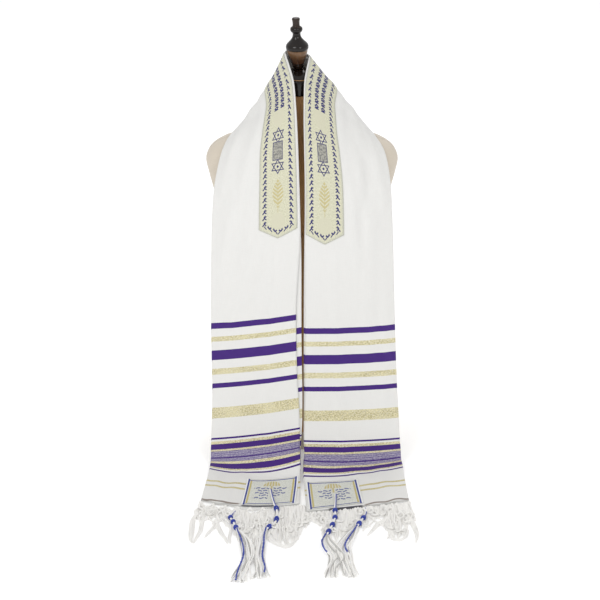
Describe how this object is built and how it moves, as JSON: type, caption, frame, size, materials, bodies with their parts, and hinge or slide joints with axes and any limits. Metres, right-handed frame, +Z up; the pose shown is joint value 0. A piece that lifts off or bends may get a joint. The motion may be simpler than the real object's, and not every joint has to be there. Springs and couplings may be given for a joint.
{
  "type": "prayer scarf on a limbless dress form",
  "caption": "Folded white prayer scarf with striped ends, neckband, corner patches, fringe and knotted tassels, draped round the neck of a limbless linen dress form with a turned finial.",
  "frame": {"origin": "centre of the dress form's flat underside, on the surface that it stands on", "axes": "+Z up, the scarf's front towards -Y, +X to the right in a view of the front"},
  "size_m": [0.4111, 0.7236, 0.8379],
  "materials": {
    "scarf_cloth": "matt plain weave, white, with woven purple, lavender and gold stripes near the hems",
    "brocade": "cream brocade with a navy woven border",
    "patch_satin": "grey-cream satin with blue and gold lines",
    "fringe_yarn": "soft matt yarn, off-white",
    "tassel_thread": "twisted white thread with one blue thread",
    "linen": "natural linen, stretched smooth",
    "dark_wood": "turned hardwood, dark gloss varnish"
  },
  "bodies": {
    "root": {"scarf_left_end": "scarf_cloth", "scarf_neck_stretch": "scarf_cloth", "scarf_right_end": "scarf_cloth", "neckband": "brocade", "corner_patch_left": "patch_satin", "corner_patch_right": "patch_satin", "fringe_left": "fringe_yarn", "fringe_right": "fringe_yarn", "tassel_outer_left": "tassel_thread", "tassel_inner_left": "tassel_thread", "tassel_inner_right": "tassel_thread", "tassel_outer_right": "tassel_thread", "dress_form": "linen", "neck_cap": "dark_wood", "neck_finial": "dark_wood"}
  },
  "joints": []
}
